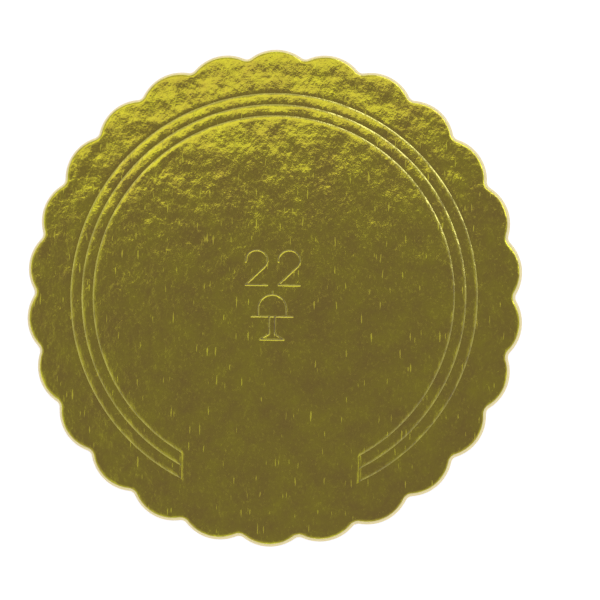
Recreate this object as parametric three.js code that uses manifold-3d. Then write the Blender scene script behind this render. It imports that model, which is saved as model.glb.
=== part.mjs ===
// Round scalloped cake board, lying foil side up on its underside.
// One die cut sheet of solid card, with a pressed ring, a size number and a small cake stand sign.
// Millimetres, +Z up, origin at the centre of the underside, +Y towards the top of the number.
import * as THREE from "three";
import { mergeVertices } from "three/addons/utils/BufferGeometryUtils.js";
import Module from "manifold-3d";

const wasm = await Module();
wasm.setup();

// Sheet
const tipDiameter = 220; // across two opposite scallop tips
const sheetThickness = 2.4;

// Scalloped edge
const scallopCount = 26;
const scallopRadius = 18.8; // the outer arc of one scallop
const valleyRound = 3.2; // the small inner arc between two scallops
const scallopSteps = 8; // facets on each outer arc
const valleySteps = 3; // facets on each inner arc

// Rolled shoulder and raw cut face
const shoulderWidth = 1.9;
const shoulderDrop = 0.9;
const shoulderSteps = 3;
const cutLean = 0.8; // how far the cut face leans out, from the shoulder down to the underside

// Pressed ring of creases
const creaseInset = 20; // from the scallop tips in to the outer crease
const creasePitch = 5;
const creaseCount = 3;
const creaseDepth = 0.42;
const creaseHalfWidth = 2.3;
const ringGap = 78; // width of the stretch left plain, at the bottom of the board
const ringSteps = 92; // facets along each crease
const creaseFacets = 3; // on each slope of a crease
const creasePitSides = 24;

// Size number, two figures of one stroke each
const figureHeight = 15.4;
const figureWidth = 9.6;
const figureSpacing = 14.4; // from one figure's middle to the next one's
const figureBase = 4.3; // height of the foot line above the board's centre
const hookRise = 4.4; // half the height of a figure's round top
const hookStart = THREE.MathUtils.degToRad(190);

// Cake stand sign under the number
const signDrop = 2.7; // from the figures' foot line down to the sign's top
const knobHeight = 1.5;
const coverRadius = 6.2; // the domed cover, which is also half its width
const coverWall = 3.4; // the straight part of the cover under its dome
const plateWidth = 18;
const standHeight = 10.2; // from the plate down to the foot line
const stemHalfWidth = 1.35;
const footWidth = 10.6;
const footFlare = 2.4; // height of the sloped part of the foot

// Stroke of the number and the sign
const strokeDepth = 0.3;
const strokeHalfWidth = 0.55;
const hookSteps = 14; // facets along a round stroke
const strokeFacets = 1; // on each slope of a stroke
const strokePitSides = 10;

const overshoot = 1; // how far cutting bodies stand out of the sheet
const pitSpread = 1.04; // the round end of a line over the line itself, so that the line ends inside it

// Sizes that follow from the values above
const tipRadius = tipDiameter / 2;
const halfPitch = Math.PI / scallopCount;
const lobeCentre = tipRadius - scallopRadius;

// Distance from the board's centre to the centre of a valley's arc
function valleyCentre() {
  const along = lobeCentre * Math.cos(halfPitch);
  const across = lobeCentre * Math.sin(halfPitch);
  return along + Math.sqrt((scallopRadius + valleyRound) ** 2 - across ** 2);
}

function polar(radius, angle) {
  return new THREE.Vector2(radius * Math.cos(angle), radius * Math.sin(angle));
}

function line(fromX, fromY, toX, toY) {
  return new THREE.LineCurve(new THREE.Vector2(fromX, fromY), new THREE.Vector2(toX, toY));
}

function arcAbout(centre, radius, from, to, clockwise) {
  return new THREE.EllipseCurve(centre.x, centre.y, radius, radius, from, to, clockwise);
}

// The die line: outer arcs joined by small inner arcs
function dieLine() {
  const reach = valleyCentre();
  const points = [];
  for (let index = 0; index < scallopCount; index += 1) {
    const tip = Math.PI / 2 + 2 * halfPitch * index;
    const lobe = polar(lobeCentre, tip);
    const next = polar(reach, tip + halfPitch);
    const swing = next.clone().sub(lobe).angle() - tip;
    const half = Math.atan2(Math.sin(swing), Math.cos(swing));
    const turn = half - halfPitch;
    const inward = tip + halfPitch + Math.PI;
    const outer = arcAbout(lobe, scallopRadius, tip - half, tip + half, false);
    const inner = arcAbout(next, valleyRound, inward + turn, inward - turn, true);
    points.push(...outer.getPoints(scallopSteps).slice(0, -1));
    points.push(...inner.getPoints(valleySteps).slice(0, -1));
  }
  return new THREE.Shape(points);
}

// A closed geometry as a solid for cutting and joining
function solidOf(geometry) {
  const bare = geometry.clone();
  bare.deleteAttribute("normal");
  bare.deleteAttribute("uv");
  const merged = mergeVertices(bare, 1e-5);
  const triangles = [];
  for (let index = 0; index < merged.index.count; index += 3) {
    const corners = [0, 1, 2].map((step) => merged.index.getX(index + step));
    // A turned shape has empty triangles at its poles, which are left out
    if (new Set(corners).size === 3) triangles.push(...corners);
  }
  return new wasm.Manifold(new wasm.Mesh({
    numProp: 3,
    vertProperties: new Float32Array(merged.attributes.position.array),
    triVerts: new Uint32Array(triangles),
  }));
}

function geometryOf(solid) {
  const mesh = solid.getMesh();
  const geometry = new THREE.BufferGeometry();
  geometry.setAttribute("position", new THREE.BufferAttribute(new Float32Array(mesh.vertProperties), 3));
  geometry.setIndex(new THREE.BufferAttribute(new Uint32Array(mesh.triVerts), 1));
  geometry.computeVertexNormals();
  return geometry;
}

// The sheet with its rolled shoulder, inside the lean of its cut face
function sheet() {
  const outline = dieLine();
  const shouldered = new THREE.ExtrudeGeometry(outline, {
    depth: overshoot + sheetThickness - shoulderDrop,
    bevelThickness: shoulderDrop,
    bevelSize: shoulderWidth,
    bevelOffset: -shoulderWidth,
    bevelSegments: shoulderSteps,
  });
  shouldered.translate(0, 0, -overshoot);
  const rise = sheetThickness + overshoot;
  const lean = cutLean * rise / (sheetThickness - shoulderDrop);
  const leaning = new THREE.ExtrudeGeometry(outline, {
    depth: overshoot,
    bevelThickness: rise,
    bevelSize: lean,
    bevelOffset: -lean,
    bevelSegments: 1,
  });
  leaning.translate(0, 0, -overshoot);
  const below = new THREE.BoxGeometry(3 * tipRadius, 3 * tipRadius, tipRadius);
  below.translate(0, 0, -tipRadius / 2);
  return solidOf(shouldered).intersect(solidOf(leaning)).subtract(solidOf(below));
}

// A plane curve in the top face, as a path for a cutting section
class FacePath extends THREE.Curve {
  constructor(flat) {
    super();
    this.flat = flat;
  }

  getPoint(t) {
    const point = this.flat.getPoint(t);
    return new THREE.Vector3(point.x, point.y, sheetThickness);
  }
}

// Section of a pressed line: sharp at the bottom, with round shoulders that end level with the face
function thorn(halfWidth, depth, facets) {
  const right = new THREE.QuadraticBezierCurve(
    new THREE.Vector2(depth, 0), new THREE.Vector2(0, halfWidth / 2), new THREE.Vector2(0, halfWidth));
  const side = right.getPoints(facets);
  const mirrored = side.slice(1).reverse().map((point) => new THREE.Vector2(point.x, -point.y));
  return [...mirrored, ...side];
}

function lineCutter(flat, stroke) {
  const lid = [1, -1].map((side) => new THREE.Vector2(-overshoot, side * stroke.halfWidth));
  const pressed = thorn(stroke.halfWidth, stroke.depth, stroke.facets);
  return solidOf(new THREE.ExtrudeGeometry(new THREE.Shape([...pressed, ...lid]), {
    steps: flat instanceof THREE.EllipseCurve ? stroke.arcSteps : 1,
    extrudePath: new FacePath(flat),
    bevelEnabled: false,
  }));
}

// The same section turned about a point, for the ends and corners of a line
function pitCutter(point, stroke) {
  const reach = stroke.halfWidth * pitSpread;
  const wall = thorn(reach, stroke.depth * pitSpread, stroke.facets).slice(stroke.facets);
  const profile = wall.map((spot) => new THREE.Vector2(spot.y, -spot.x));
  profile.push(new THREE.Vector2(reach, overshoot), new THREE.Vector2(0, overshoot));
  const pit = new THREE.LatheGeometry(profile, stroke.pitSides);
  pit.rotateX(Math.PI / 2);
  pit.translate(point.x, point.y, sheetThickness);
  return solidOf(pit);
}

// Cutters for a set of lines, with one round pit wherever a line ends
function lineCutters(curves, stroke) {
  const ends = [];
  for (const end of curves.flatMap((curve) => [curve.getPoint(0), curve.getPoint(1)])) {
    if (!ends.some((known) => known.distanceTo(end) < stroke.halfWidth / 10)) ends.push(end);
  }
  return [
    ...curves.map((curve) => lineCutter(curve, stroke)),
    ...ends.map((end) => pitCutter(end, stroke)),
  ];
}

// The ring: long creases side by side, closed by a short straight one at both ends of the plain stretch
function ringLines() {
  const outerRadius = tipRadius - creaseInset;
  const lines = [];
  for (let index = 0; index < creaseCount; index += 1) {
    const radius = outerRadius - creasePitch * index;
    const halfGap = Math.asin(ringGap / 2 / radius);
    lines.push(arcAbout(new THREE.Vector2(), radius, halfGap - Math.PI / 2, 3 * Math.PI / 2 - halfGap, false));
  }
  for (const end of [0, 1]) {
    lines.push(new THREE.LineCurve(lines[creaseCount - 1].getPoint(end), lines[0].getPoint(end)));
  }
  return lines;
}

// One figure two: a round hook, a slope that leaves it along its tangent, and a foot line
function figureTwo(middle) {
  const halfWidth = figureWidth / 2;
  const hook = new THREE.Vector2(middle, figureBase + figureHeight - hookRise);
  const heel = middle - halfWidth;
  // The foot line's left end, seen from the hook's middle as if the hook were a circle of radius 1
  const seen = new THREE.Vector2((heel - hook.x) / halfWidth, (figureBase - hook.y) / hookRise);
  const leave = seen.angle() + Math.acos(1 / seen.length());
  const arc = new THREE.EllipseCurve(hook.x, hook.y, halfWidth, hookRise, hookStart, leave, true);
  const neck = arc.getPoint(1);
  return [
    arc,
    line(neck.x, neck.y, heel, figureBase),
    line(heel, figureBase, middle + halfWidth, figureBase),
  ];
}

// A domed cover with a knob, on a plate with a stem and a flared foot
function standSign() {
  const top = figureBase - signDrop;
  const springing = top - knobHeight - coverRadius;
  const plate = springing - coverWall;
  const foot = plate - standHeight;
  const ankle = foot + footFlare;
  const curves = [
    line(0, top, 0, top - knobHeight),
    arcAbout(new THREE.Vector2(0, springing), coverRadius, 0, Math.PI, false),
    line(-plateWidth / 2, plate, plateWidth / 2, plate),
    line(-footWidth / 2, foot, footWidth / 2, foot),
  ];
  for (const side of [-1, 1]) {
    curves.push(line(side * coverRadius, springing, side * coverRadius, plate));
    curves.push(line(side * stemHalfWidth, plate, side * stemHalfWidth, ankle));
    curves.push(line(side * stemHalfWidth, ankle, side * footWidth / 2, foot));
  }
  return curves;
}

function board() {
  const crease = {
    halfWidth: creaseHalfWidth,
    depth: creaseDepth,
    facets: creaseFacets,
    arcSteps: ringSteps,
    pitSides: creasePitSides,
  };
  const stroke = {
    halfWidth: strokeHalfWidth,
    depth: strokeDepth,
    facets: strokeFacets,
    arcSteps: hookSteps,
    pitSides: strokePitSides,
  };
  const marks = [...figureTwo(-figureSpacing / 2), ...figureTwo(figureSpacing / 2), ...standSign()];
  const cutters = [...lineCutters(ringLines(), crease), ...lineCutters(marks, stroke)];
  return sheet().subtract(cutters.reduce((whole, cutter) => whole.add(cutter)));
}

const foil = new THREE.MeshStandardMaterial({ color: 0x7a7130, roughness: 0.35, metalness: 0.9 });
const cakeBoard = new THREE.Mesh(geometryOf(board()), foil);
cakeBoard.name = "cake_board";

const part = new THREE.Group();
part.name = "cake_board_part";
part.add(cakeBoard);

export default part;
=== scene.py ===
import math

import bpy
from mathutils import Matrix, Vector
from mathutils.kdtree import KDTree


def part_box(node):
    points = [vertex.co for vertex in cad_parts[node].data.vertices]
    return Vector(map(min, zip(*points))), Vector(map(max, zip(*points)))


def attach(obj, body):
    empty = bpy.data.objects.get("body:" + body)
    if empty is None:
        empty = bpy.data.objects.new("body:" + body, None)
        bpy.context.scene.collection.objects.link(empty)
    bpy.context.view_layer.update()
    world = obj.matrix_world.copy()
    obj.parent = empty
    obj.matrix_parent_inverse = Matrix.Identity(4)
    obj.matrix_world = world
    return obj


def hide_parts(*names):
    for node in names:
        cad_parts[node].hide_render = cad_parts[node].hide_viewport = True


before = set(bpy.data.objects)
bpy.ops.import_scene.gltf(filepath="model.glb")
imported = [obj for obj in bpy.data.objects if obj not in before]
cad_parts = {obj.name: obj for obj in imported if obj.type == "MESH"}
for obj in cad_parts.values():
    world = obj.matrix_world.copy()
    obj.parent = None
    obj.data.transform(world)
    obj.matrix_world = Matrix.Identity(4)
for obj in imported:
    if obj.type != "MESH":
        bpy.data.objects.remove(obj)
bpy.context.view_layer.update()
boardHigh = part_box("cake_board")[1]
mm = 0.001
slack = 0.01 * mm  # for telling levels and places apart
tipRadius = boardHigh.y
faceHeight = boardHigh.z


def polar(radius, angle):
    return Vector((radius * math.cos(angle), radius * math.sin(angle), 0))


def editOnly(obj):
    if bpy.context.mode != "OBJECT":
        bpy.ops.object.mode_set(mode="OBJECT")
    bpy.ops.object.select_all(action="DESELECT")
    obj.select_set(True)
    bpy.context.view_layer.objects.active = obj
    bpy.ops.object.mode_set(mode="EDIT")


def pickVerts(obj, wanted):  # select vertices by their place, in edit mode
    bpy.ops.mesh.select_mode(type="VERT")
    bpy.ops.mesh.select_all(action="DESELECT")
    bpy.ops.object.mode_set(mode="OBJECT")
    for vertex in obj.data.vertices:
        vertex.select = wanted(vertex.co)
    bpy.ops.object.mode_set(mode="EDIT")


def pickOpenEdges():
    bpy.ops.mesh.select_mode(type="EDGE")
    bpy.ops.mesh.select_non_manifold(extend=False, use_multi_face=False, use_non_contiguous=False,
                                     use_verts=False)


# Rim: the die line, the raw cut face that leans out under it, and the rolled shoulder

rim = {
    "scallops": 26,
    "scallopRadius": 18.8 * mm,
    "valleyRound": 3.2 * mm,
    "scallopSteps": 18,
    "valleySteps": 6,
    "footRound": 0.15 * mm,     # the knife leaves the lower edge slightly rounded
    "footBand": 2 * mm,         # first band of faces round the underside
    "cutLean": 0.8 * mm,        # the cut face flares out this far from top to bottom
    "cutSteps": 2,
    "shoulderWidth": 1.9 * mm,  # where the die rolled the foil over
    "shoulderDrop": 0.9 * mm,
    "shoulderSteps": 9,
    "foilDrop": 0.22 * mm,      # how far down the shoulder the foil holds, with raw card under it
    "smoothUnder": math.radians(50),
}
# Vertices in every loop round the board
ringSegments = rim["scallops"] * (rim["scallopSteps"] + rim["valleySteps"])


def makeRim():
    halfPitch = math.pi / rim["scallops"]
    lobe = Vector((0, tipRadius - rim["scallopRadius"], 0))
    across = lobe.y * math.sin(halfPitch)
    apart = rim["scallopRadius"] + rim["valleyRound"]  # centre of a scallop to centre of a valley
    reach = lobe.y * math.cos(halfPitch) + math.sqrt(apart ** 2 - across ** 2)
    valley = polar(reach, math.pi / 2 + halfPitch)
    toValley = valley - lobe
    halfSweep = math.atan2(toValley.y, toValley.x) - math.pi / 2
    start = lobe + polar(rim["scallopRadius"], math.pi / 2 - halfSweep)
    level = rim["footRound"]

    bpy.ops.mesh.primitive_plane_add(size=mm, location=(start.x, start.y, level))
    piece = bpy.context.active_object
    bpy.ops.object.transform_apply(location=True, rotation=True, scale=True)
    editOnly(piece)
    bpy.ops.mesh.select_all(action="SELECT")
    bpy.ops.mesh.merge(type="CENTER")
    bpy.ops.mesh.spin(steps=rim["scallopSteps"], angle=-2 * halfSweep,
                      center=(lobe.x, lobe.y, level), axis=(0, 0, 1))
    bpy.ops.mesh.spin(steps=rim["valleySteps"], angle=2 * (halfSweep - halfPitch),
                      center=(valley.x, valley.y, level), axis=(0, 0, 1))
    bpy.ops.mesh.select_all(action="SELECT")
    bpy.ops.mesh.spin(steps=rim["scallops"], dupli=True, angle=-2 * math.pi,
                      center=(0, 0, level), axis=(0, 0, 1))
    bpy.ops.mesh.select_all(action="SELECT")
    bpy.ops.mesh.remove_doubles(threshold=slack)
    bpy.ops.mesh.edge_face_add()
    bpy.ops.mesh.normals_make_consistent(inside=False)

    # From the die line in and up: the lean of the cut face, then the quarter round of the shoulder
    cutHeight = faceHeight - rim["shoulderDrop"] - level
    for _ in range(rim["cutSteps"]):
        bpy.ops.mesh.inset(thickness=rim["cutLean"] / rim["cutSteps"], depth=cutHeight / rim["cutSteps"])
    turns = [math.pi / 2 * step / rim["shoulderSteps"] for step in range(rim["shoulderSteps"] + 1)]
    for before, after in zip(turns, turns[1:]):
        bpy.ops.mesh.inset(thickness=rim["shoulderWidth"] * (math.cos(before) - math.cos(after)),
                           depth=rim["shoulderDrop"] * (math.sin(after) - math.sin(before)))
    bpy.ops.mesh.delete(type="ONLY_FACE")

    # Down and in from the die line to the flat underside
    pickVerts(piece, lambda place: abs(place.z - level) < slack)
    bpy.ops.mesh.extrude_region_move(TRANSFORM_OT_translate={"value": (0, 0, -level)})
    shrink = 1 - rim["footRound"] / tipRadius
    bpy.ops.transform.resize(value=(shrink, shrink, 1), center_override=(0, 0, 0))
    bpy.ops.mesh.edge_face_add()
    bpy.ops.mesh.inset(thickness=rim["footBand"], depth=0)
    bpy.ops.object.mode_set(mode="OBJECT")
    print("rim:", len(piece.data.polygons), "faces")
    return piece


# Face: a fine grid for the stamped number and sign, then loops that stand closest where the creases run

face = {
    "gridWidth": 32 * mm,
    "gridHeight": 46 * mm,
    "gridColumns": 130,   # the grid's border has as many vertices as a loop round the board
    "gridRows": 182,
    "gridCuts": 9,        # between the grid and the first loop
    "firstLoop": 30 * mm,
    "plainLoops": 8,
    "innerLoops": 11,     # on each crease's long slope
    "crowding": 1.5,      # closer towards its line
    "outerLoops": 6,      # on its outer shoulder
    "lastLoop": 100 * mm,
    "rimCuts": 5,         # between the last loop and the rim
    "endAcross": 2.6 * mm,  # the faces this near to the ends of the creases are cut smaller
    "endAlong": 1.2 * mm,
    "endCuts": 2,
}
crease = {
    "radii": (80 * mm, 85 * mm, 90 * mm),
    "gap": 78 * mm,               # width of the plain stretch at the bottom of the board
    "depth": 0.32 * mm,
    "innerWidth": 2.5 * mm,       # long slope, down to the crease's line from the inner side
    "innerCurve": 2.4,            # steeper towards the line
    "cliff": 0.07 * mm,           # steep side, up to a low shoulder
    "outerDepth": 0.12 * mm,
    "outerWidth": 1.9 * mm,
    "endWidth": 1.6 * mm,
}


def loopRadii():
    slopeFrom = crease["radii"][0] - crease["innerWidth"]
    plainStep = (slopeFrom - face["firstLoop"]) / face["plainLoops"]
    radii = [face["firstLoop"] + plainStep * (index + 1) for index in range(face["plainLoops"])]
    for line in crease["radii"]:
        inner = [(index / face["innerLoops"]) ** face["crowding"] for index in range(face["innerLoops"])]
        radii += [line - crease["innerWidth"] * share for share in reversed(inner)]
        shoulder = (crease["outerWidth"] - crease["cliff"]) / face["outerLoops"]
        radii += [line + crease["cliff"] + shoulder * index for index in range(face["outerLoops"] + 1)]
    radii += [(radii[-1] + face["lastLoop"]) / 2, face["lastLoop"]]
    return radii


def pastRingEnd(place):  # distance from the straight line that ends the creases, negative where they run
    return crease["gap"] / 2 - abs(place.x) if place.y < 0 else -tipRadius


def refineRingEnds(piece):  # short faces where the creases end
    lowest = crease["radii"][0] - face["endAlong"]
    highest = crease["radii"][-1] + face["endAlong"]
    pickVerts(piece, lambda place: lowest < place.xy.length < highest
              and abs(pastRingEnd(place)) < face["endAcross"])
    bpy.ops.mesh.subdivide(number_cuts=face["endCuts"])


def makeFace():
    bpy.ops.object.select_all(action="DESELECT")
    bpy.ops.mesh.primitive_grid_add(x_subdivisions=face["gridColumns"], y_subdivisions=face["gridRows"],
                                    size=1, location=(0, 0, faceHeight))
    piece = bpy.context.active_object
    piece.scale = (face["gridWidth"], face["gridHeight"], 1)
    bpy.ops.object.transform_apply(location=True, rotation=True, scale=True)
    editOnly(piece)
    bpy.ops.mesh.primitive_circle_add(vertices=ringSegments, radius=face["firstLoop"],
                                      fill_type="NOTHING", location=(0, 0, faceHeight))
    pickOpenEdges()
    bpy.ops.mesh.bridge_edge_loops(number_cuts=face["gridCuts"], interpolation="LINEAR")
    onFirstLoop = face["firstLoop"] - 5 * slack
    pickVerts(piece, lambda place: place.xy.length > onFirstLoop)
    bpy.ops.mesh.select_mode(type="EDGE")
    reached = face["firstLoop"]
    for radius in loopRadii():
        bpy.ops.mesh.extrude_region_move()
        grow = radius / reached
        bpy.ops.transform.resize(value=(grow, grow, 1), center_override=(0, 0, 0))
        reached = radius
    refineRingEnds(piece)
    bpy.ops.object.mode_set(mode="OBJECT")
    print("face:", len(piece.data.polygons), "faces")
    return piece


def joinSheet(facePiece, rimPiece):
    bpy.ops.object.select_all(action="DESELECT")
    facePiece.select_set(True)
    rimPiece.select_set(True)
    bpy.context.view_layer.objects.active = facePiece
    bpy.ops.object.join()
    editOnly(facePiece)
    pickOpenEdges()
    bpy.ops.mesh.bridge_edge_loops(number_cuts=face["rimCuts"], interpolation="LINEAR")
    bpy.ops.mesh.select_all(action="SELECT")
    bpy.ops.mesh.normals_make_consistent(inside=False)
    bpy.ops.object.mode_set(mode="OBJECT")
    facePiece.name = "cakeBoardSheet"
    facePiece.data.name = "cakeBoardSheet"
    return facePiece


# Pressed lines: the ring of creases, the number and the sign

stroke = {
    "depth": 0.2 * mm,
    "halfWidth": 0.56 * mm,
    "curve": 1.4,                 # steeper towards the middle
    "spacing": 0.08 * mm,         # of the points that stand for a stroke
}
number = {
    "height": 15.4 * mm,
    "width": 9.6 * mm,
    "spacing": 14.4 * mm,
    "base": 4.3 * mm,
    "hookRise": 4.4 * mm,
    "hookStart": math.radians(190),
}
sign = {
    "drop": 2.7 * mm,
    "knob": 1.5 * mm,
    "coverRadius": 6.2 * mm,
    "coverWall": 3.4 * mm,
    "plateWidth": 18 * mm,
    "standHeight": 10.2 * mm,
    "stemHalfWidth": 1.35 * mm,
    "footWidth": 10.6 * mm,
    "footFlare": 2.4 * mm,
}


def creaseDepth(offset):  # offset is how far outside the crease's line
    if offset <= 0:
        return crease["depth"] * max(0, 1 + offset / crease["innerWidth"]) ** crease["innerCurve"]
    shoulder = crease["outerDepth"] * max(0, 1 - offset / crease["outerWidth"]) ** 2
    return max(shoulder, crease["depth"] * (1 - offset / crease["cliff"]))


def ringDepth(place):
    radius = place.xy.length
    past = pastRingEnd(place)
    depth = max(creaseDepth(radius - line) for line in crease["radii"])
    depth *= max(0, 1 - max(0, past) / crease["endWidth"]) ** 2
    if crease["radii"][0] < radius < crease["radii"][-1]:  # a short crease closes each end
        closing = max(0, 1 - abs(past) / crease["endWidth"]) ** 2
        depth = max(depth, crease["depth"] * closing)
    return depth


def straight(fromX, fromY, toX, toY):
    start = Vector((fromX, fromY, 0))
    run = Vector((toX, toY, 0)) - start
    count = max(1, round(run.length / stroke["spacing"]))
    return [start + run * step / count for step in range(count + 1)]


def roundStroke(x, y, halfWidth, halfHeight, fromAngle, toAngle):
    count = max(1, round(abs(toAngle - fromAngle) * max(halfWidth, halfHeight) / stroke["spacing"]))
    angles = [fromAngle + (toAngle - fromAngle) * step / count for step in range(count + 1)]
    return [Vector((x + halfWidth * math.cos(angle), y + halfHeight * math.sin(angle), 0))
            for angle in angles]


def figureTwo(middle):
    halfWidth = number["width"] / 2
    hookY = number["base"] + number["height"] - number["hookRise"]
    # How far down the heel is, with the hook taken as a circle of radius 1
    seenY = (number["base"] - hookY) / number["hookRise"]
    leave = math.atan2(seenY, -1) + math.acos(1 / math.hypot(1, seenY))
    hook = roundStroke(middle, hookY, halfWidth, number["hookRise"], number["hookStart"], leave)
    neck = hook[-1]
    heel = middle - halfWidth
    slope = straight(neck.x, neck.y, heel, number["base"])
    return hook + slope + straight(heel, number["base"], middle + halfWidth, number["base"])


def standSign():
    top = number["base"] - sign["drop"]
    springing = top - sign["knob"] - sign["coverRadius"]
    plate = springing - sign["coverWall"]
    foot = plate - sign["standHeight"]
    ankle = foot + sign["footFlare"]
    points = straight(0, top, 0, top - sign["knob"])
    points += roundStroke(0, springing, sign["coverRadius"], sign["coverRadius"], 0, math.pi)
    points += straight(-sign["plateWidth"] / 2, plate, sign["plateWidth"] / 2, plate)
    points += straight(-sign["footWidth"] / 2, foot, sign["footWidth"] / 2, foot)
    for side in (-1, 1):
        points += straight(side * sign["coverRadius"], springing, side * sign["coverRadius"], plate)
        points += straight(side * sign["stemHalfWidth"], plate, side * sign["stemHalfWidth"], ankle)
        points += straight(side * sign["stemHalfWidth"], ankle, side * sign["footWidth"] / 2, foot)
    return points


def strokeTree():
    points = figureTwo(-number["spacing"] / 2) + figureTwo(number["spacing"] / 2) + standSign()
    tree = KDTree(len(points))
    for index, point in enumerate(points):
        tree.insert(point, index)
    tree.balance()
    return tree


# The card is never quite flat under its foil: low swells a centimetre or two long, that end at the rim
swell = {"length": 14 * mm, "height": 0.24 * mm, "fade": 4 * mm}


def pressLines(piece):
    tree = strokeTree()
    reach = face["gridHeight"] / 2
    deepest = max(crease["depth"], stroke["depth"])
    lines = piece.vertex_groups.new(name="pressed lines")
    level = piece.vertex_groups.new(name="face level")
    for vertex in piece.data.vertices:
        if vertex.co.z < faceHeight - slack / 10:
            continue
        flat = Vector((vertex.co.x, vertex.co.y, 0))
        depth = ringDepth(flat)
        if flat.length < reach:
            away = tree.find(flat)[2]
            share = max(0, 1 - away / stroke["halfWidth"]) ** stroke["curve"]
            depth = max(depth, stroke["depth"] * share)
        if depth > 0:
            lines.add([vertex.index], depth / deepest, "REPLACE")
        inFromRim = 1 - (flat.length - face["lastLoop"]) / swell["fade"]
        level.add([vertex.index], min(1, max(0, inFromRim)), "REPLACE")
    pressed = piece.modifiers.new("pressed lines", "DISPLACE")
    pressed.direction = "Z"
    pressed.mid_level = 0
    pressed.strength = -deepest
    pressed.vertex_group = lines.name
    bpy.context.view_layer.objects.active = piece
    bpy.ops.object.modifier_apply(modifier=pressed.name)


def swellFace(piece):
    clouds = bpy.data.textures.new("card swells", "CLOUDS")
    clouds.noise_scale = swell["length"]
    clouds.noise_depth = 1
    waves = piece.modifiers.new("card swells", "DISPLACE")
    waves.texture = clouds
    waves.texture_coords = "LOCAL"
    waves.direction = "Z"
    waves.mid_level = 1  # only ever down, so that no swell stands above the sheet's thickness
    waves.strength = swell["height"]
    waves.vertex_group = "face level"
    bpy.context.view_layer.objects.active = piece
    bpy.ops.object.modifier_apply(modifier=waves.name)


# Materials

def hexColour(code):  # sRGB hex to linear
    parts = [int(code[start:start + 2], 16) / 255 for start in (1, 3, 5)]
    linear = [part / 12.92 if part <= 0.04045 else ((part + 0.055) / 1.055) ** 2.4 for part in parts]
    return (*linear, 1)


def addNode(tree, kind, settings=None, links=None, values=None):
    made = tree.nodes.new(kind)
    for name, value in (settings or {}).items():
        setattr(made, name, value)
    for name, value in (values or {}).items():
        made.inputs[name].default_value = value
    for name, source in (links or {}).items():
        tree.links.new(source, made.inputs[name])
    return made


def newMaterial(name):
    material = bpy.data.materials.new(name)
    material.use_nodes = True
    material.node_tree.nodes.clear()
    return material, material.node_tree


def between(limits):  # the part of a noise that a Map Range node stretches from 0 to 1
    return {"From Min": limits[0], "From Max": limits[1]}


colourA, colourB, colourResult = 6, 7, 2  # a colour mix node's own sockets, by number

foil = {
    "gold": "#DCDA42",         # gold lacquer over aluminium, a greenish yellow
    "dullGold": "#CCBF48",     # where the lacquer is thicker
    "cloudLength": 15 * mm,    # of the lacquer's uneven patches
    "cloudEdge": (0.35, 0.65),
    "roughness": 0.15,
    "drawnOut": 1.4,           # the orange peel is this much longer along the web than across it
    "peelLength": 1.9 * mm,   # orange peel from the glue and the card's fibres under the film
    "peelHeight": 0.17 * mm,
    "blotchLength": 7 * mm,    # the same, from the thicker parts of the glue line
    "blotchHeight": 0.55 * mm,
    "streakWidth": 0.9 * mm,   # laminating streaks, the peaks of a noise with cells of this size
    "streakLength": 7 * mm,
    "streakPeak": (0.765, 0.8),
    "streakRoughness": 0.5,    # scuffed matt, so that a streak is lit by the whole room
    "grainLength": 0.9 * mm,   # dull grains all over, from the fibres that press through
    "grainPeak": (0.5, 0.75),
    "grainRoughness": 0.28,
}
# The pressed lines are paler than the foil beside them. This is a painted highlight: a paler copy of the
# foil on the lines stands in for the bright glints that run along them. That the die rubbed them is a
# guess.
paintedHighlightFoil = {
    "gold": "#DAD463",
    "dullGold": "#CEC468",
    "width": 0.75 * mm,        # of the strip with the painted highlight, inward from a crease's line
    "strokeWidth": 0.25 * mm,  # of the same, to each side of a stroke's middle
}


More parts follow.
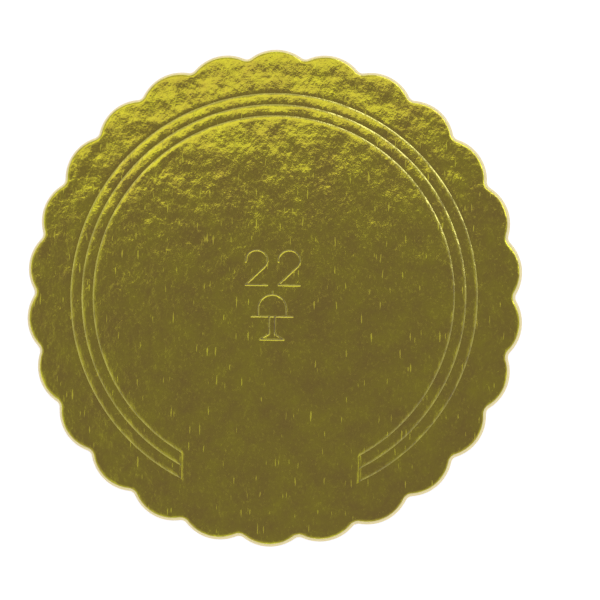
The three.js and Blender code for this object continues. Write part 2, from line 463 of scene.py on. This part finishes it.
# Metallised gold foil laminated on greyboard, then pressed. A soft mirror: dark where the room above is
# dark, bright and broken up by orange peel where it catches the lamp, with short streaks along the web.
def foilMaterial(name, gold, dullGold):
    material, tree = newMaterial(name)
    place = addNode(tree, "ShaderNodeTexCoord").outputs["Object"]
    clouds = addNode(tree, "ShaderNodeTexNoise", links={"Vector": place},
                     values={"Scale": 1 / foil["cloudLength"], "Detail": 6, "Roughness": 0.75})
    patches = addNode(tree, "ShaderNodeMapRange", links={"Value": clouds.outputs["Fac"]},
                      values=between(foil["cloudEdge"]))
    tint = addNode(tree, "ShaderNodeMix", {"data_type": "RGBA"}, {"Factor": patches.outputs["Result"]},
                   {colourA: hexColour(gold), colourB: hexColour(dullGold)})

    drawn = addNode(tree, "ShaderNodeMapping", links={"Vector": place},
                    values={"Scale": (1, 1 / foil["drawnOut"], 1)}).outputs["Vector"]
    blotch = addNode(tree, "ShaderNodeTexNoise", links={"Vector": drawn},
                     values={"Scale": 1 / foil["blotchLength"], "Detail": 1})
    blotchBump = addNode(tree, "ShaderNodeBump", links={"Height": blotch.outputs["Fac"]},
                         values={"Distance": foil["blotchHeight"]})
    peel = addNode(tree, "ShaderNodeTexNoise", links={"Vector": drawn},
                   values={"Scale": 1 / foil["peelLength"], "Detail": 2.5, "Roughness": 0.6})
    peelBump = addNode(tree, "ShaderNodeBump", values={"Distance": foil["peelHeight"]},
                       links={"Height": peel.outputs["Fac"], "Normal": blotchBump.outputs["Normal"]})
    stretch = addNode(tree, "ShaderNodeMapping", links={"Vector": place},
                      values={"Scale": (1 / foil["streakWidth"], 1 / foil["streakLength"], 1)})
    streak = addNode(tree, "ShaderNodeTexNoise", links={"Vector": stretch.outputs["Vector"]},
                     values={"Scale": 1, "Detail": 0})
    peaks = addNode(tree, "ShaderNodeMapRange", links={"Value": streak.outputs["Fac"]},
                    values=between(foil["streakPeak"]))
    grain = addNode(tree, "ShaderNodeTexNoise", links={"Vector": drawn},
                    values={"Scale": 1 / foil["grainLength"], "Detail": 1})
    grains = addNode(tree, "ShaderNodeMapRange", links={"Value": grain.outputs["Fac"]},
                     values={**between(foil["grainPeak"]),
                             "To Min": foil["roughness"], "To Max": foil["grainRoughness"]})
    dullness = addNode(tree, "ShaderNodeMath", {"operation": "MULTIPLY_ADD"},
                       {0: peaks.outputs["Result"], 2: grains.outputs["Result"]},
                       {1: foil["streakRoughness"] - foil["roughness"]})

    shader = addNode(tree, "ShaderNodeBsdfPrincipled", values={"Metallic": 1},
                     links={"Base Color": tint.outputs[colourResult], "Normal": peelBump.outputs["Normal"],
                            "Roughness": dullness.outputs["Value"]})
    addNode(tree, "ShaderNodeOutputMaterial", links={"Surface": shader.outputs["BSDF"]})
    return material


card = {
    "fibre": "#F5E9A8",
    "ply": "#E6D996",
    "plyLength": 6 * mm,
    "plyHeight": 0.3 * mm,
    "fibreLength": 0.8 * mm,
    "fibreHeight": 0.15 * mm,
}


# Greyboard cut by a steel rule: dry cream fibre in thin plies, no gloss
def cardMaterial():
    material, tree = newMaterial("raw greyboard, die cut edge")
    place = addNode(tree, "ShaderNodeTexCoord").outputs["Object"]
    layers = addNode(tree, "ShaderNodeMapping", links={"Vector": place},
                     values={"Scale": (1 / card["plyLength"], 1 / card["plyLength"],
                                       1 / card["plyHeight"])})
    plies = addNode(tree, "ShaderNodeTexNoise", links={"Vector": layers.outputs["Vector"]},
                    values={"Scale": 1, "Detail": 2})
    tint = addNode(tree, "ShaderNodeMix", {"data_type": "RGBA"}, {"Factor": plies.outputs["Fac"]},
                   {colourA: hexColour(card["fibre"]), colourB: hexColour(card["ply"])})
    fibres = addNode(tree, "ShaderNodeTexNoise", links={"Vector": place},
                     values={"Scale": 1 / card["fibreLength"], "Detail": 4})
    bump = addNode(tree, "ShaderNodeBump", links={"Height": fibres.outputs["Fac"]},
                   values={"Strength": 1, "Distance": card["fibreHeight"]})
    shader = addNode(tree, "ShaderNodeBsdfPrincipled",
                     links={"Base Color": tint.outputs[colourResult], "Normal": bump.outputs["Normal"]},
                     values={"Roughness": 0.9, "IOR": 1.5})
    addNode(tree, "ShaderNodeOutputMaterial", links={"Surface": shader.outputs["BSDF"]})
    return material


film = {
    "black": "#26242A",
    "roughness": 0.42,
    "peelLength": 1.2 * mm,
    "peelHeight": 0.04 * mm,
}


# Black polypropylene film laminated on the underside: satin, very slightly violet, with the card's
# grain through it
def filmMaterial():
    material, tree = newMaterial("black PP film on greyboard, laminated")
    place = addNode(tree, "ShaderNodeTexCoord").outputs["Object"]
    peel = addNode(tree, "ShaderNodeTexNoise", links={"Vector": place},
                   values={"Scale": 1 / film["peelLength"], "Detail": 3})
    bump = addNode(tree, "ShaderNodeBump", links={"Height": peel.outputs["Fac"]},
                   values={"Strength": 1, "Distance": film["peelHeight"]})
    shader = addNode(tree, "ShaderNodeBsdfPrincipled", links={"Normal": bump.outputs["Normal"]},
                     values={"Base Color": hexColour(film["black"]), "Roughness": film["roughness"],
                             "IOR": 1.5})
    addNode(tree, "ShaderNodeOutputMaterial", links={"Surface": shader.outputs["BSDF"]})
    return material


def onPaintedHighlight(place, tree):  # on a crease's line or a stroke, where the highlight is painted in paler foil
    radius = place.xy.length
    if radius < face["gridHeight"] / 2:
        return tree.find(Vector((place.x, place.y, 0)))[2] < paintedHighlightFoil["strokeWidth"]
    inward = [line + crease["cliff"] - radius for line in crease["radii"]]
    return pastRingEnd(place) < 0 and any(0 < gap < paintedHighlightFoil["width"] for gap in inward)


def dressSheet(piece):
    bright = foilMaterial("metallised gold foil on greyboard, pressed", foil["gold"], foil["dullGold"])
    # Painted highlight: a paler copy of the foil for the pressed lines
    paintedHighlightMaterial = foilMaterial("the same foil, with a painted pale highlight", paintedHighlightFoil["gold"], paintedHighlightFoil["dullGold"])
    piece.data.materials.clear()
    for material in (bright, cardMaterial(), filmMaterial(), paintedHighlightMaterial):
        piece.data.materials.append(material)
    bare, under, pale = 1, 2, 3
    tree = strokeTree()
    foilEnd = faceHeight - rim["foilDrop"]
    for polygon in piece.data.polygons:
        if polygon.center.z < rim["footRound"] - slack:
            polygon.material_index = under
        elif polygon.center.xy.length > face["lastLoop"]:
            polygon.material_index = bare if polygon.center.z < foilEnd else 0
        # Painted highlight: faces along the crease lines and the strokes get the paler foil
        elif onPaintedHighlight(polygon.center, tree):
            polygon.material_index = pale
    bpy.ops.object.select_all(action="DESELECT")
    piece.select_set(True)
    bpy.context.view_layer.objects.active = piece
    bpy.ops.object.shade_smooth_by_angle(angle=rim["smoothUnder"])


rimPiece = makeRim()
sheet = joinSheet(makeFace(), rimPiece)
pressLines(sheet)
swellFace(sheet)
dressSheet(sheet)
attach(sheet, "root")
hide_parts("cake_board")
print("sheet pressed and dressed")


# Stage, light and camera

# The tints of room, windows and lamp are fitted to the photo. Under neutral light the foil looks greener.
studio = {
    "zenith": (0.23, 0.19, 0.4),     # dim violet room above the board, which the foil mirrors
    "horizon": (0.62, 0.6, 0.62),
    "skyFade": (0.75, 0.95),         # heights on a sky of radius 1 between which it darkens
    "floor": "#F4F3F1",
    "floorRadius": 4,
    "floorGap": 0.02 * mm,           # keeps the table's surface apart from the underside's
    "floorGlow": 0.5,                # a lit white table, as under a cut-out product picture
    "windowDistance": 1.2,
    "windowColour": (0.9, 0.93, 1.25),  # cool daylight
    "lampPlace": (-0.2, 0.505, 1.0),
    "lampSize": (0.9, 0.38),
    "lampTurn": math.radians(6),
    "lampRadiance": 0.76,
    "lampColour": (1, 0.98, 0.5),      # warm
}
# Windows: degrees round from the right, degrees down from the zenith, size and radiance. Mostly the rim
# and the pressed lines catch them.
windows = (
    (0, 70, (1.6, 0.6), 0.7),
    (90, 70, (1.6, 0.6), 0.9),
    (180, 70, (1.6, 0.6), 0.6),
    (270, 70, (1.6, 0.6), 1.1),
    (48, 47, (1.0, 0.3), 1.6),
)


def addLight(name, place, size, radiance, colour, turn):
    light = bpy.data.lights.new(name, "AREA")
    light.color = colour
    light.shape = "RECTANGLE"
    light.size, light.size_y = size
    light.energy = radiance * math.pi * size[0] * size[1]
    lamp = bpy.data.objects.new(name, light)
    lamp.matrix_world = Matrix.LocRotScale(Vector(place), turn, None)
    bpy.context.scene.collection.objects.link(lamp)


def makeWorld():
    world = bpy.data.worlds.new("dim room")
    bpy.context.scene.world = world
    world.use_nodes = True
    tree = world.node_tree
    tree.nodes.clear()
    direction = addNode(tree, "ShaderNodeTexCoord").outputs["Generated"]
    split = addNode(tree, "ShaderNodeSeparateXYZ", links={"Vector": direction})
    ramp = addNode(tree, "ShaderNodeValToRGB", links={"Fac": split.outputs["Z"]})
    for stop, height, colour in zip(ramp.color_ramp.elements, studio["skyFade"], ("horizon", "zenith")):
        stop.position = height
        stop.color = (*studio[colour], 1)
    sky = addNode(tree, "ShaderNodeBackground", links={"Color": ramp.outputs["Color"]})
    addNode(tree, "ShaderNodeOutputWorld", links={"Surface": sky.outputs["Background"]})


def makeFloor():
    bpy.ops.mesh.primitive_circle_add(vertices=96, radius=studio["floorRadius"], fill_type="NGON",
                                      location=(0, 0, -studio["floorGap"]))
    floor = bpy.context.active_object
    floor.name = "floor"
    material, tree = newMaterial("lit white acrylic table")
    white = hexColour(studio["floor"])
    shader = addNode(tree, "ShaderNodeBsdfPrincipled",
                     values={"Base Color": white, "Roughness": 0.9,
                             "Emission Color": white, "Emission Strength": studio["floorGlow"]})
    addNode(tree, "ShaderNodeOutputMaterial", links={"Surface": shader.outputs["BSDF"]})
    floor.data.materials.append(material)


makeWorld()
makeFloor()
for azimuth, tilt, size, radiance in windows:
    side = polar(studio["windowDistance"] * math.sin(math.radians(tilt)), math.radians(azimuth))
    side.z = studio["windowDistance"] * math.cos(math.radians(tilt))
    addLight("window", side, size, radiance, studio["windowColour"], side.to_track_quat("Z", "Y"))
addLight("lamp", studio["lampPlace"], studio["lampSize"], studio["lampRadiance"], studio["lampColour"],
         Matrix.Rotation(studio["lampTurn"], 3, "Z").to_quaternion())
print("studio lit")

photo = {
    "width": 600,
    "focalPixels": 1020,
    "distance": 448 * mm,
    "aim": (12.2 * mm, -2.2 * mm),
    # The camera stands a little below the middle of the board and to its right
    "lean": (math.radians(3), math.radians(2.4)),
    "roll": math.radians(0.77),
}


def addCamera():
    camera = bpy.data.objects.new("camera", bpy.data.cameras.new("camera"))
    camera.data.sensor_width = 36
    camera.data.lens = photo["focalPixels"] / photo["width"] * camera.data.sensor_width
    camera.data.clip_start = 0.01
    down, right = photo["lean"]
    turn = Matrix.Rotation(right, 4, "Y") @ Matrix.Rotation(down, 4, "X")
    turn = turn @ Matrix.Rotation(photo["roll"], 4, "Z")
    aim = Vector((*photo["aim"], faceHeight))
    away = turn.to_3x3() @ Vector((0, 0, photo["distance"]))
    camera.matrix_world = Matrix.Translation(aim + away) @ turn
    bpy.context.scene.collection.objects.link(camera)
    bpy.context.scene.camera = camera


addCamera()
bpy.context.scene.view_settings.view_transform = "Standard"
